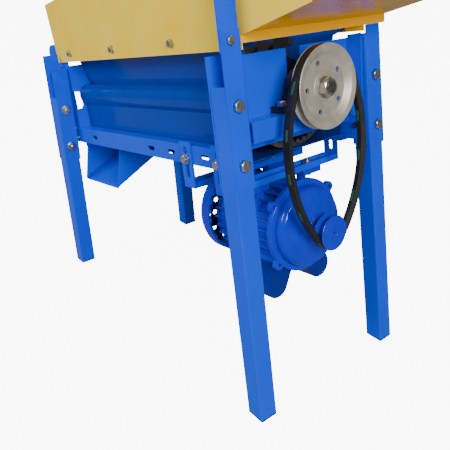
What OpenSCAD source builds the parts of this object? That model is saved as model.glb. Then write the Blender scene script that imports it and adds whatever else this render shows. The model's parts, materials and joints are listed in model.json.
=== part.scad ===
// Belt-driven drum mill for maize cobs: a tilted threshing body on four splayed legs,
// a feed hopper above it, a motor slung below and an open V-belt drive at the high end.
// Millimetres. +Z is up, +X points to the pulley end, -Y is the side with the grain chute.

/* [Stand] */
// Square leg tube, outside width
tube_w = 40; // [34:0.5:46]
// Wall of the leg tube
tube_wall = 2; // [1.5:0.5:3]
// Outer corner of the pulley-end feet from the middle, along X
foot_x_near = 408; // [400:1:416]
// Outer corner of the discharge-end feet from the middle, along X
foot_x_far = 409; // [402:1:416]
// Outer corner of every foot from the middle, along Y
foot_y = 206; // [204:0.5:212]
// Lean of the pulley-end legs from plumb
lean_near = 10.25; // [9.8:0.05:10.6]
// Lean of the discharge-end legs from plumb, feet inwards
lean_far = 2.85; // [2.5:0.05:3.2]
// Lean of all legs across the machine
lean_side = 1.04; // [0.8:0.02:1.3]
// Upper clamp bolt above the floor, pulley-end legs
bolt_z_near = 588; // [580:1:594]
// Upper clamp bolt above the floor, discharge-end legs
bolt_z_far = 446.5; // [440:0.5:452]
// Distance between the two clamp bolts of a leg
bolt_pitch = 97; // [90:1:104]
// Thickness of the folded posts
post_t = 3; // [2.5:0.5:4]

/* [Body] */
// Slope of the whole body, pulley end high
tilt = 9.06; // [8.6:0.02:9.4]
// Height of the rail tops above the floor at the middle
body_z = 455.7; // [450:0.1:462]
// Outer face of the side rails from the middle
rail_y = 150; // [148:0.5:152]
// Depth of the side rails
rail_h = 38; // [34:1:42]
// Inner face of the pulley-end plate
end_near = 275; // [270:1:278]
// Outer face of the discharge-end plate, from the middle
end_far = 383; // [378:1:386]
// Thickness of the end plates
end_t = 3; // [2.5:0.5:5]
// Height of the rotor axis above the rail tops
axis_z = 90; // [88:0.5:92]
// Lower wall of the drum shell from the middle
shell_y = 120; // [118:0.5:124]
// Height of the middle of the stiffening bead
bead_z = 82; // [80:1:84]
// Radius of the stiffening bead
bead_r = 27; // [24:1:28]
// Sheet thickness of the drum shell
shell_t = 2.5; // [2:0.5:3]

/* [Rotor] */
// Rotor shaft diameter
shaft_d = 25; // [25:1:25]
// Outside diameter of the rotor tube
rotor_d = 108; // [100:1:114]
// Radius swept by the beater tips
beater_r = 88; // [84:1:89]
// Number of beater rows
beater_rows = 4; // [3:1:6]
// Beaters in each row
beaters_per_row = 8; // [6:1:9]
// Radius to the middle of the concave bars
concave_r = 100; // [98:0.5:102]
// Diameter of a concave bar
concave_bar_d = 8; // [6:0.5:9]
// Number of concave bars
concave_bars_n = 17; // [13:1:17]

/* [Belt drive] */
// Driven pulley, outside diameter
big_d = 145; // [140:1:150]
// Motor pulley, outside diameter
small_d = 69; // [66:0.5:72]
// Front face of both pulleys along the body
pulley_x = 359.3; // [357:0.1:361]
// Face width of both pulleys
pulley_w = 21; // [20:0.5:22]
// Motor axis below the rotor axis
centre_drop = 269; // [266:0.5:272]
// Motor axis from the middle, towards the chute side
motor_y = -4.6; // [-8:0.1:-3]
// How far the slack belt bows out from the middle line
belt_bow = 101; // [98:0.5:103]
// Belt back width
belt_w = 16.6; // [16:0.1:17.2]
// Belt height
belt_h = 10.5; // [10:0.1:11]

/* [Motor] */
// Drive-end bell radius
bell_r = 94.5; // [92:0.5:97]
// Fan cowl radius
cowl_r = 98; // [95:0.5:99]
// Radius over the cooling fins
fin_r = 88; // [84:1:90]
// Number of cooling fins
fin_n = 28; // [20:2:32]
// Motor axis to the faces of its feet
motor_h = 93; // [92:0.5:94]
// Distance between the foot bolts across the motor
foot_a = 160; // [150:1:170]
// Middle of the cradle at the pulley end
cradle_near = 222; // [218:1:226]
// Distance between the two cradles
cradle_pitch = 104; // [100:1:108]
// Motor shaft diameter
mshaft_d = 24; // [24:1:24]

/* [Hopper] */
// Lower edge of the hopper walls above the rail tops
wall_z0 = 170; // [168:1:174]
// Top of the front wall at the discharge end
wall_z1 = 312; // [300:1:320]
// Top of the front wall at the feed end
wall_z2 = 372; // [350:1:380]
// Front wall, outer face from the middle
wall_y = 152; // [151.5:0.1:152.4]
// Rear wall foot from the middle
rear_y = 210; // [206:1:214]
// Feed tray, start along the body
tray_x0 = 321; // [320.5:0.5:323]
// Feed tray, end along the body
tray_x1 = 468; // [440:1:480]
// Slope of the feed tray
tray_slope = 12.5; // [11:0.5:14]
// Hopper sheet thickness
hop_t = 2; // [1.5:0.5:2]

/* [Grain chute] */
// Discharge-side plate of the chute, from the middle
chute_x0 = -418; // [-420:1:-416]
// Pulley-side plate of the chute
chute_x1 = -227; // [-232:1:-222]
// Mouth of the chute from the middle
chute_y = -147; // [-150:1:-144]
// Mouth of the chute below the rail tops
chute_z = -141; // [-146:1:-136]

/* [Hidden] */
$fn = 64;

frame_blue = "#1F66D6";
motor_blue = "#1B47C0";
hopper_yellow = "#E9B21C";
zinc = "#B9B9B2";
steel = "#8C8F92";
cast = "#46494C";
rubber = "#1C1C1C";
machined = "#B5ADA2";

eps = 0.01;
tube_r = tube_w / 2;
cap_h = 3;
M_LEG = 12;
leg_af = 19;
hex_k = 1 / cos(30);
bell_x = 273;
frame_x0 = 104;
motor_z = axis_z - centre_drop;
pulley_x0 = pulley_x - pulley_w;
foot_z = motor_z + motor_h;
cradle_far = cradle_near - cradle_pitch;
bar_t = 4;
slack = 0.3;
run = 0.05;
// middle of the overall box, seen from the middle of the stand
origin_x = -45.7;
origin_y = 32.97;
trough_y = rail_y - 3;
shell_x0 = -end_far + end_t;
shell_x1 = end_near;
bearing_r = 26;
bearing_w = 17;

// ---------- placing ----------
module tilted() {
    translate([-origin_x, -origin_y, body_z]) rotate([0, -tilt, 0]) children();
}

module at_leg(near, front) {
    x = near ? foot_x_near - tube_r : -foot_x_far + tube_r;
    lean = near ? -lean_near : -lean_far;
    translate([-origin_x, -origin_y, 0]) mirror([0, front ? 0 : 1, 0])
        translate([x, -foot_y + tube_r, 0]) rotate([-lean_side, lean, 0]) children();
}

module along_x(x0, x1) {
    translate([x0, 0, 0]) rotate([90, 0, 90]) linear_extrude(x1 - x0) children();
}

module along_y(y0, y1) {
    translate([0, y1, 0]) rotate([90, 0, 0]) linear_extrude(y1 - y0) children();
}

module xcyl(x0, x1, r) {
    translate([x0, 0, 0]) rotate([0, 90, 0]) cylinder(h = x1 - x0, r = r);
}

module xring(x0, x1, r_out, r_in) {
    difference() {
        xcyl(x0, x1, r_out);
        xcyl(x0 - 1, x1 + 1, r_in);
    }
}

// a turned piece whose axis is X: pts are [radius, x]
module turned(pts) {
    rotate([0, 90, 0]) rotate_extrude() polygon(pts);
}

module both_sides() {
    children();
    mirror([0, 1, 0]) children();
}

module at_motor() {
    tilted() translate([0, motor_y, motor_z]) children();
}

module at_rotor() {
    tilted() translate([0, 0, axis_z]) children();
}

// ---------- profiles ----------
function unit(v) = v / norm(v);
function left_of(v) = [-v[1], v[0]];
function arc(c, r, a0, a1, n) = [for (i = [0:n])
    c + r * [cos(a0 + (a1 - a0) * i / n), sin(a0 + (a1 - a0) * i / n)]];

// the outline of a folded sheet: the path on one face, then the mitred offset back
function seg_n(p, i) = left_of(unit(p[i + 1] - p[i]));
function mitre(p, i) = let (last = len(p) - 1, a = seg_n(p, max(i - 1, 0)), b = seg_n(p, min(i, last - 1)))
    (a + b) / (1 + a * b);
function sheet(p, t) = concat(p, [for (i = [len(p) - 1:-1:0]) p[i] + t * mitre(p, i)]);

// square with rounded corners
module round_square(half, r) {
    polygon(concat(arc([half - r, half - r], r, 0, 90, 4), arc([r - half, half - r], r, 90, 180, 4),
        arc([r - half, r - half], r, 180, 270, 4), arc([half - r, r - half], r, 270, 360, 4)));
}

module slot2d(len, d) {
    for (s = [-1, 1]) translate([s * (len - d) / 2, 0]) circle(d = d);
    square([len - d, d], center = true);
}

// ---------- fasteners, axis along Z, head or nut seated on z = 0 ----------
// a hexagon with its outer corners turned off at 30 degrees
module chamfered_hex(af, h) {
    d = af * hex_k;
    intersection() {
        cylinder(h = h, d = d, $fn = 6);
        rotate_extrude() polygon([[0, 0], [d / 2, 0], [d / 2, h - 0.09 * af], [af * 0.47, h], [0, h]]);
    }
}

module hex_bolt(d, af, head, len) {
    chamfered_hex(af, head);
    translate([0, 0, -len]) cylinder(h = len + eps, d = d);
}

module hex_nut(d, af, h) {
    difference() {
        chamfered_hex(af, h);
        translate([0, 0, -1]) cylinder(h = h + 2, d = d);
    }
}

module washer(d, od, t) {
    difference() {
        cylinder(h = t, d = od);
        translate([0, 0, -1]) cylinder(h = t + 2, d = d);
    }
}

// ---------- stand ----------
function bolt_w(near) = near ? bolt_z_near / cos(lean_near) : bolt_z_far / cos(lean_far);
// the outer flange of a post stands higher than its web and inner flange
function flange_top(near, front) = near ? (front ? 714 : 691) : 581;
function web_top(near) = near ? 677 : 550;

// the folded channel, open outwards, in the leg's own axes
module channel2d(t, half, depth) {
    r = 5;
    outer = concat([[-half - t, -tube_r]], arc([-half - t + r, depth + t - r], r, 180, 90, 6),
        arc([half + t - r, depth + t - r], r, 90, 0, 6), [[half + t, -tube_r]]);
    inner = concat([[half, -tube_r]], arc([half - r + t, depth - r + t], r - t, 0, 90, 6),
        arc([-half + r - t, depth - r + t], r - t, 90, 180, 6), [[-half, -tube_r]]);
    polygon(concat(outer, inner));
}

module clamp_holes(near) {
    for (k = [0, 1]) translate([0, 0, bolt_w(near) - k * bolt_pitch])
        rotate([0, 90, 0]) cylinder(h = 80, d = M_LEG + 0.5, center = true);
}

module post(near, front) {
    w0 = bolt_w(near) - bolt_pitch - 39;
    w1 = flange_top(near, front);
    color(frame_blue) difference() {
        at_leg(near, front) difference() {
            translate([0, 0, w0]) linear_extrude(w1 - w0) channel2d(post_t, tube_r, tube_r);
            clamp_holes(near);
            mirror([near ? 0 : 1, 0, 0]) translate([tube_r - 100, -60, web_top(near)]) cube([100, 120, 60]);
            // the corner goes too, clear of the hopper wall
            translate([-60, stay_y, web_top(near)]) cube([120, 40, 60]);
            if (near) at_stay_bolt() cylinder(h = 40, d = 8.5, center = true);
        }
        frame_holes();
    }
}

// one bolt laps the hopper stay to the outer flange of the front pulley-end post
module at_stay_bolt() {
    translate([tube_r + post_t, -2, 697]) rotate([0, 90, 0]) children();
}

// inner face of the stay, which lies against the hopper wall
stay_y = 19;

// a folded upright that carries the hopper's feed end: a blade in line with the flange and an ear on the wall
module hopper_stay() {
    blade_z0 = 680;
    blade_z1 = 806;
    ear_z0 = 712;
    color(frame_blue) at_leg(true, true) difference() {
        union() {
            translate([tube_r - post_t, -tube_r, blade_z0])
                cube([post_t, tube_r + stay_y, blade_z1 - blade_z0]);
            translate([-tube_r, stay_y - post_t, ear_z0]) cube([tube_w, post_t, blade_z1 - ear_z0]);
        }
        at_stay_bolt() cylinder(h = 40, d = 8.5, center = true);
        translate([-6, stay_y, stay_bolt_w]) rotate([90, 0, 0]) cylinder(h = 40, d = 8.5, center = true);
    }
}

tube_corner = 3;
module leg(near, front) {
    color(frame_blue) intersection() {
        at_leg(near, front) difference() {
            translate([0, 0, -20]) linear_extrude(bolt_w(near) + 52) round_square(tube_r, tube_corner);
            translate([0, 0, -30]) linear_extrude(bolt_w(near) + 100)
                round_square(tube_r - tube_wall, tube_corner - tube_wall);
            clamp_holes(near);
        }
        translate([-600, -400, cap_h]) cube([1200, 800, 900]);
    }
}

module leg_cap(near, front) {
    grip = tube_wall + 0.2;
    intersection() {
        at_leg(near, front) translate([0, 0, -20]) linear_extrude(60) round_square(tube_r, tube_corner);
        translate([-600, -400, 0]) cube([1200, 800, cap_h]);
    }
    intersection() {
        at_leg(near, front) translate([0, 0, -20]) linear_extrude(60)
            round_square(tube_r - grip, tube_corner - tube_wall);
        translate([-600, -400, cap_h - eps]) cube([1200, 800, 22]);
    }
}

module leg_caps() {
    color(rubber) for (near = [true, false], front = [true, false]) leg_cap(near, front);
}

// heads look outwards, nuts sit on the inner flanges
module at_clamps() {
    for (near = [true, false], front = [true, false], k = [0, 1])
        at_leg(near, front) translate([0, 0, bolt_w(near) - k * bolt_pitch])
            rotate([0, near ? 90 : -90, 0]) children();
}

module leg_bolts() {
    color(zinc) at_clamps() translate([0, 0, tube_r + post_t]) {
        hex_bolt(M_LEG, leg_af, 7.5, tube_w + 2 * post_t + 16);
    }
}

module leg_nuts() {
    color(zinc) at_clamps() rotate([180, 0, 0]) translate([0, 0, tube_r + post_t]) {
        washer(M_LEG, 24, 2.5);
        translate([0, 0, 2.5]) hex_nut(M_LEG, leg_af, 10);
    }
}

// ---------- body frame ----------
// bolts through the end plate flanges and the post webs
function frame_bolt_z(near) = near ? [59, -8] : [-1, -26];
function frame_bolt_x(near) = near ? 298 : -408;

module at_frame_bolts() {
    tilted() both_sides() for (near = [true, false], z = frame_bolt_z(near))
        translate([frame_bolt_x(near), -rail_y + end_t, z]) children();
}

module frame_holes() {
    at_frame_bolts() rotate([90, 0, 0]) translate([0, 0, -20]) cylinder(h = 90, d = 8.5);
}

module frame_bolts() {
    color(zinc) {
        at_frame_bolts() rotate([-90, 0, 0]) hex_bolt(8, 13, 5.3, 8.4);
        at_leg(true, true) at_stay_bolt() {
            hex_bolt(8, 13, 5.3, 2 * post_t + 10);
            translate([0, 0, -2 * post_t - 6.5]) hex_nut(8, 13, 6.5);
        }
    }
}

module rail_slots() {
    for (x = [-300, -20, 176, 60]) translate([x, -rail_y + 6, -19])
        rotate([90, 0, 0]) linear_extrude(12) slot2d(26, 9);
}

module rail(front) {
    x0 = -end_far + end_t;
    x1 = end_near;
    color(frame_blue) tilted() mirror([0, front ? 0 : 1, 0]) difference() {
        union() {
            translate([x0, -rail_y, -rail_h]) cube([x1 - x0, 3, rail_h + 1]);
            translate([x0, -rail_y, -2]) cube([x1 - x0, 28, 3]);
            translate([x0, -rail_y, -rail_h]) cube([x1 - x0, 27, 3]);
        }
        rail_slots();
        for (x = [cradle_near, cradle_far]) translate([x, -rail_y + 6, -26])
            rotate([90, 0, 0]) cylinder(h = 12, d = 10.5);
    }
}

plate_top = 160;
// an end plate folded back along both posts, with a shaft slot open at the top
module end_plate(x0, fold, depth, z0) {
    difference() {
        union() {
            along_x(x0, x0 + end_t) difference() {
                translate([-rail_y, z0]) square([2 * rail_y, plate_top - z0]);
                translate([-18, axis_z]) square([36, 100]);
                translate([0, axis_z]) circle(r = 18);
            }
            both_sides() translate([fold > 0 ? x0 : x0 - depth + end_t, -rail_y, -rail_h])
                cube([depth, end_t, plate_top + rail_h]);
        }
        children();
    }
}

module near_end_plate() {
    color(frame_blue) difference() {
        tilted() end_plate(end_near, 1, 37, 0);
        frame_holes();
    }
}

module far_end_plate() {
    shelf_w = 144;
    color(frame_blue) difference() {
        tilted() {
            end_plate(-end_far, -1, 47, -rail_h) {
                // side windows beside the bead
                both_sides() along_x(-end_far - 60, -end_far + 8)
                    polygon([[-rail_y - 1, 50], [-134, 50], [-128, 58], [-131, 92], [-rail_y - 1, 96]]);
                // the cobs leave through the lower middle, around the shaft
                along_x(-end_far - 5, -end_far + 8) difference() {
                    translate([-96, -14]) square([192, 64]);
                    translate([-50, 48]) square([100, 10]);
                }
            }
            // shelf for the far bearing
            translate([-end_far - bearing_base_x - 1, -shelf_w / 2, bearing_seat_z - end_t])
                cube([bearing_base_x + 1 + eps, shelf_w, end_t]);
        }
        frame_holes();
        tilted() bearing_bolt_holes();
    }
}

beam_y = 141;
module near_end_beam() {
    x = end_near + end_t;
    face = x + bearing_base_x + 1;
    // from the plate outwards: seat for the bearing, face, and a lower lip folded inwards
    path = [[x, bearing_seat_z], [face, bearing_seat_z], [face, 17], [face - 16, 17]];
    color(frame_blue) tilted() difference() {
        along_y(-beam_y, beam_y) polygon(sheet(path, -3));
        bearing_bolt_holes();
    }
}

module far_end_beam() {
    x = -end_far;
    color(frame_blue) tilted() along_y(-beam_y, beam_y)
        polygon(sheet([[x, -rail_h - 14], [x - 4, -rail_h - 14],
        [x - 4, -2], [x - 34, -2], [x - 34, -14]], -3));
}

// ---------- drum shell and concave ----------
bead_c = [-shell_y + 14, bead_z];
shell_path = concat([[-shell_y, 1], [-shell_y, 57]], arc(bead_c, bead_r, 236, 72, 20),
    [[-114, 168], [-trough_y, 174], [-trough_y, 206]]);

module drum_shell() {
    color(frame_blue) tilted() both_sides() difference() {
        along_x(shell_x0, shell_x1) polygon(sheet(shell_path, -shell_t));
        for (x = wall_bolt_x, z = hopper_bolt_z) translate([x, -trough_y + 10, z]) rotate([90, 0, 0])
            cylinder(h = 30, d = 8.5);
    }
}

concave_a0 = 202;
concave_a1 = 338;
rib_x = [-368, -158, 52, 262];

module concave_bars() {
    color(steel) at_rotor() for (i = [0:concave_bars_n - 1]) {
        a = concave_a0 + (concave_a1 - concave_a0) * i / (concave_bars_n - 1);
        translate([0, concave_r * cos(a), concave_r * sin(a)]) xcyl(shell_x0, shell_x1, concave_bar_d / 2);
    }
}

module concave_ribs() {
    r0 = concave_r + concave_bar_d / 2 + 0.05;
    color(steel) at_rotor() {
        for (x = rib_x) along_x(x - 3, x + 3) difference() {
            circle(r = r0 + 9);
            circle(r = r0);
            translate([-200, -axis_z + 53]) square([400, 300]);
        }
        both_sides() along_x(shell_x0, shell_x1)
            polygon(sheet([[-shell_y + shell_t, -68], [-shell_y + shell_t, -37 + eps],
                [-r0 + 6, -37 + eps]], -3));
    }
}

// ---------- grain path ----------
module grain_pan() {
    z0 = -23.5;
    z1 = -32.5;
    y1 = 126;
    t = 2;
    x0 = chute_x1 + 3;
    color(frame_blue) tilted() {
        along_y(-y1, y1) polygon(sheet([[end_near, z0], [x0, z1]], t));
        // side walls up to the rails' upper lips
        both_sides() along_y(-y1, -y1 + t)
            polygon([[x0, z1 - t], [end_near, z0 - t], [end_near, -2], [x0, -2]]);
    }
}

module grain_chute() {
    t = 2.5;
    y_back = 96;
    lip = 5;
    ear_z = -rail_h + 3;
    ear_y = rail_y - 4;
    cheek = [[-118, -27], [chute_y, chute_z], [chute_y, chute_z - 2], [y_back, -29], [y_back, -27]];
    // the pulley-side plate has ears that rest on the rails' lower lips
    eared = [[-ear_y, -27], [-ear_y, ear_z], [-120, ear_z], [chute_y, chute_z], [chute_y, chute_z - 2],
        [y_back, -29], [y_back, ear_z], [ear_y, ear_z], [ear_y, -27]];
    color(frame_blue) tilted() difference() {
        union() {
            along_x(chute_x0, chute_x0 + t) polygon(cheek);
            along_x(chute_x1 - t, chute_x1) polygon(eared);
            along_x(chute_x0, chute_x1) polygon(sheet([[chute_y, chute_z - lip], [chute_y, chute_z],
                [y_back, -29], [y_back + 4, -27]], -2));
        }
        // notch past the beam and the end plate
        translate([-end_far - 7.5, -beam_y - 1, -rail_h - 14.5]) cube([11, 2 * beam_y + 2, 60]);
    }
}

outlet_top = 216;
module cob_outlet() {
    x0 = -end_far;
    x1 = -494;
    r = 24;
    z1 = outlet_top;
    t = 2.5;
    cheek = concat([[x0, z1]], arc([x1 + r, z1 - r], r, 90, 180, 8), [[x1, -22], [x0, 20]]);
    color(frame_blue) tilted() {
        both_sides() along_y(-146.5, -146.5 + t) polygon(cheek);
        along_y(-146.5, 146.5) polygon(sheet([[x0 - 1, 20], [x1, -22]], t));
        along_y(-146.5, 146.5) polygon(sheet([[x0, z1], [x1 + r, z1]], t));
    }
}

// ---------- rotor ----------
shaft_x0 = -412;
thread_d = 20;
dish = 11.3;
hub_x1 = pulley_x - dish;
washer_t = 3;
nut_h = 13;
key_w = 8;

module keyway(x0, x1, r, w) {
    translate([x0, -w / 2, r - 4]) cube([x1 - x0, w, 4 + 4]);
}

module rotor_shaft() {
    color(steel) at_rotor() difference() {
        union() {
            xcyl(shaft_x0, hub_x1 - 1, shaft_d / 2);
            xcyl(hub_x1 - 1 - eps, hub_x1 + washer_t + nut_h + 1.5, thread_d / 2);
        }
        keyway(pulley_x0 + 1, hub_x1 + 1, shaft_d / 2, key_w);
    }
}

module rotor_tube() {
    r = rotor_d / 2;
    x0 = -350;
    x1 = 250;
    color(steel) at_rotor() {
        difference() {
            xcyl(x0, x1, r);
            xcyl(x0 - 1, x1 + 1, r - 4);
        }
        for (x = [x0, -50, x1 - 8]) xring(x, x + 8, r - 4 + eps, shaft_d / 2);
    }
}

module beater() {
    r = rotor_d / 2;
    translate([-15, -4, r - 1]) cube([30, 8, beater_r - r - 6]);
    translate([-21, -4, beater_r - 14]) cube([42, 11, 13.5]);
}

module beaters() {
    step = 64;
    color(cast) at_rotor() difference() {
        for (i = [0:beater_rows - 1], k = [0:beaters_per_row - 1])
            translate([-262 + k * step + i * step / beater_rows, 0, 0])
                rotate([360 * i / beater_rows + 11 * k, 0, 0]) beater();
        xcyl(-400, 300, rotor_d / 2);
    }
}

module cob_thrower() {
    r = rotor_d / 2;
    color(cast) at_rotor() difference() {
        for (i = [0:3]) rotate([90 * i + 20, 0, 0]) translate([-344, -2.5, r - 1])
            cube([56, 5, beater_r - r]);
        xcyl(-400, 300, r);
    }
}

// ---------- bearings: two pillow blocks for a 25 mm shaft, bolted down on the beam and the shelf ----------
bearing_h = 36.5;
bearing_bolt_y = 52.5;
bearing_base_x = 34;
bearing_foot = 12;
bearing_seat_z = axis_z - bearing_h;
function bearing_c(near) = near
    ? end_near + end_t + bearing_base_x / 2 + 0.5
    : -end_far - bearing_base_x / 2 - 0.5;

module at_bearings() {
    at_rotor() {
        translate([bearing_c(true), 0, 0]) children();
        translate([bearing_c(false), 0, 0]) mirror([1, 0, 0]) children();
    }
}

module bearing_bolt_holes() {
    for (near = [true, false], s = [-1, 1])
        translate([bearing_c(near), s * bearing_bolt_y, bearing_seat_z - 12]) cylinder(h = 30, d = 10.5);
}

module bearing_housings() {
    half = bearing_base_x / 2;
    color(cast) at_bearings() difference() {
        union() {
            along_x(-half, half) translate([-66, -bearing_h]) square([132, bearing_foot]);
            turned([[bearing_r, -13], [33, -13], [36, -8], [36, 8], [33, 13], [bearing_r, 13]]);
            along_x(-10, 10) polygon([[-42, 10 - bearing_h], [42, 10 - bearing_h], [33, 8], [-33, 8]]);
        }
        xcyl(-half - 1, half + 1, bearing_r);
        for (s = [-1, 1]) translate([0, s * bearing_bolt_y, -bearing_h - 1]) cylinder(h = 30, d = 10.5);
    }
}

module bearing_outer_rings() {
    color(steel) at_bearings() difference() {
        xring(-8.5, 8.5, bearing_r, 21.6);
        rotate([0, 90, 0]) rotate_extrude() translate([19.2, 0]) circle(r = 4.05);
    }
}

module bearing_inner_rings() {
    color(steel) at_bearings() difference() {
        xring(-8.5, 14, 16.8, shaft_d / 2);
        rotate([0, 90, 0]) rotate_extrude() translate([19.2, 0]) circle(r = 4.05);
    }
}

module bearing_balls() {
    color(zinc) at_bearings() for (i = [0:8]) rotate([40 * i, 0, 0]) translate([0, 0, 19.2])
        sphere(r = 4, $fn = 24);
}

module bearing_bolts() {
    color(zinc) at_bearings() for (s = [-1, 1])
        translate([0, s * bearing_bolt_y, bearing_foot - bearing_h]) {
        washer(10, 20, 2);
        translate([0, 0, 2]) hex_bolt(10, 16, 6.4, 24);
        translate([0, 0, -15 - 8]) hex_nut(10, 16, 8);
    }
}

// ---------- belt drive ----------
// groove of a B-section belt, opened by the running gap
groove_top = belt_w / 2 + slack + 0.35;
groove_floor = belt_w / 2 + slack - (belt_h + 1) * tan(17) + 0.35;

function groove(r, xm) = [[r, xm - groove_top], [r - belt_h - 1, xm - groove_floor],
    [r - belt_h - 1, xm + groove_floor], [r, xm + groove_top]];

module driven_pulley() {
    r = big_d / 2;
    x0 = pulley_x0;
    x1 = pulley_x;
    xm = (x0 + x1) / 2;
    rim = r - belt_h - 6;
    dish_r = 52;
    web_t = 5;
    holes_r = 43;
    color(machined) at_rotor() difference() {
        turned(concat([[shaft_d / 2, x0], [24, x0], [24, hub_x1 - web_t], [dish_r, hub_x1 - web_t],
            [rim, x0 + 1], [rim + 1, x0], [r, x0]],
            groove(r, xm), [[r, x1], [r - 1.5, x1], [dish_r + 10, x1 - 1.5], [dish_r, hub_x1],
                [27, hub_x1], [26, hub_x1 - 1],
                [24, hub_x1], [shaft_d / 2, hub_x1]]));
        for (i = [0:4]) rotate([72 * i + 18, 0, 0]) translate([0, 0, holes_r]) xcyl(x0 - 1, x1 + 1, 4.5);
        keyway(x0 - 1, x1, shaft_d / 2, key_w);
    }
}

module pulley_key() {
    color(steel) at_rotor() translate([pulley_x0 + 1, -key_w / 2, shaft_d / 2 - 4])
        cube([hub_x1 - pulley_x0 - 2, key_w, 7]);
}

module pulley_washer() {
    color(zinc) at_rotor() translate([hub_x1, 0, 0]) rotate([0, 90, 0]) washer(thread_d, 37, washer_t);
}

module pulley_nut() {
    color(zinc) at_rotor() translate([hub_x1 + washer_t, 0, 0]) rotate([0, 90, 0])
        hex_nut(thread_d, 30, nut_h);
}

// The slack belt is a four-arc oval: two arcs on the pulleys and two long ones that touch both.
big_r = big_d / 2;
small_r = small_d / 2;
drop = norm([motor_y, centre_drop]);
// long arc radius: its middle (side_a, side_b) is side_rho - big_r from the upper axis and
// side_rho - small_r from the lower one, and its edge stands belt_bow from the centre line
side_b1 = (big_r - small_r) / drop;
side_b0 = (small_r * small_r - big_r * big_r - drop * drop) / (2 * drop);
qa = side_b1 * side_b1;
qb = 2 * side_b1 * side_b0 - 2 * belt_bow + 2 * big_r;
qc = side_b0 * side_b0 + belt_bow * belt_bow - big_r * big_r;
side_rho = (-qb - sqrt(qb * qb - 4 * qa * qc)) / (2 * qa);
side_a = side_rho - belt_bow;
side_b = side_b0 + side_b1 * side_rho;
top_a = atan2(-side_b, side_a);
low_a = atan2(side_b + drop, side_a);

// points [across, along] of the belt back line, seen from the pulley end
belt_back = concat(
    [for (i = [0:19]) let (a = top_a + (180 - 2 * top_a) * i / 20) big_r * [cos(a), sin(a)]],
    [for (i = [0:23]) let (a = 180 - top_a + (top_a + low_a) * i / 24) [side_a,
        side_b] + side_rho * [cos(a), sin(a)]],
    [for (i = [0:15]) let (a = 180 + low_a + (180 - 2 * low_a) * i / 16) [0, -drop] + small_r * [cos(a),
        sin(a)]],
    [for (i = [0:23]) let (a = -low_a + (top_a + low_a) * i / 24) [-side_a, side_b] + side_rho * [cos(a),
        sin(a)]]);

module drive_belt() {
    n = len(belt_back);
    xm = pulley_x - pulley_w / 2;
    half_in = belt_w / 2 - belt_h * tan(17);
    out_n = [for (i = [0:n - 1]) -left_of(unit(belt_back[(i + 1) % n] - belt_back[(i + n - 1) % n]))];
    ring = [for (i = [0:n - 1]) let (p = belt_back[i], q = belt_back[i] - belt_h * out_n[i])
        [[xm - belt_w / 2, p[0], p[1]], [xm + belt_w / 2, p[0], p[1]], [xm + half_in, q[0], q[1]],
            [xm - half_in, q[0], q[1]]]];
    faces = [for (i = [0:n - 1], k = [0:3])
        let (a = 4 * i, b = 4 * ((i + 1) % n), m = (k + 1) % 4) [a + k, a + m, b + m, b + k]];
    color(rubber) at_rotor() rotate([atan2(motor_y, centre_drop), 0, 0])
        polyhedron([for (s = ring, v = s) v], faces, convexity = 4);
}

// ---------- motor ----------
// closed front of the motor pulley, over the end of the shaft
mface_t = 3;

module motor_pulley() {
    r = small_r;
    x0 = pulley_x0;
    x1 = pulley_x;
    xm = (x0 + x1) / 2;
    color(motor_blue) at_motor() difference() {
        turned(concat([[mshaft_d / 2, x0 - 9], [20, x0 - 9], [20, x0], [r, x0]], groove(r, xm),
            [[r, x1 - 1], [r - 1, x1], [9, x1], [8.2, x1 - 0.8], [7.4, x1], [3.5, x1], [2, x1 - mface_t],
                [mshaft_d / 2, x1 - mface_t]]));
        keyway(x0 - 12, x1 - mface_t - 1, mshaft_d / 2, 6);
    }
}

module motor_pulley_key() {
    color(steel) at_motor() translate([pulley_x0 - 8, -3, mshaft_d / 2 - 3]) cube([25, 6, 6]);
}

module motor_shaft() {
    color(steel) at_motor() difference() {
        xcyl(62, pulley_x - mface_t, mshaft_d / 2);
        translate([pulley_x0 - 10, -3, mshaft_d / 2 - 3]) cube([28, 6, 6]);
    }
}

module motor_rotor() {
    color(steel) at_motor() xring(138, 244, 44, mshaft_d / 2);
}

module motor_stator() {
    color(steel) at_motor() {
        xring(134, 248, 70, 45);
        for (x = [120, 248]) xring(x, x + 14, 63, 50);
    }
}

module motor_fan() {
    color(rubber) at_motor() {
        xring(64, 88, 20, mshaft_d / 2);
        xring(84, 87, 62, 19.9);
        for (i = [0:6]) rotate([360 * i / 7, 0, 0]) translate([64, -1.5, 19]) cube([22.5, 3, 66]);
    }
}

module motor_bearings() {
    color(steel) at_motor() for (x = [bearing_seat_far, bell_x + 24])
        xring(x, x + 14, 26, mshaft_d / 2 + run);
}

module motor_frame() {
    core = 75;
    color(motor_blue) at_motor() {
        difference() {
            union() {
                xcyl(frame_x0, bell_x, core);
                for (i = [0:fin_n - 1]) rotate([360 * (i + 0.5) / fin_n, 0, 0])
                    translate([frame_x0, -1.4, core - 2]) cube([bell_x - frame_x0, 2.8, fin_r - core + 2]);
                motor_feet();
                // pads for the terminal box and the capacitor covers
                translate([140, 60, -30]) cube([80, fin_r - 58, 60]);
                at_capacitors() translate([cap_x0, -cap_r, cap_seat])
                    cube([cap_x1 - cap_x0, 2 * cap_r, 30]);
            }
            xcyl(frame_x0 - 1, bell_x + 1, 70);
            for (x = [cradle_near, cradle_far], s = [-1, 1]) translate([x, s * foot_a / 2, 40])
                cylinder(h = 80, d = 10.5);
        }
    }
}

// feet turned up, cast on the frame
module motor_feet() {
    for (x = [cradle_near, cradle_far], s = [-1, 1]) {
        translate([x - 19, s > 0 ? 48 : -100, motor_h - 11]) cube([38, 52, 11]);
        translate([x - 4, s > 0 ? 50 : -70, 40]) cube([8, 20, motor_h - 42]);
    }
}

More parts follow.
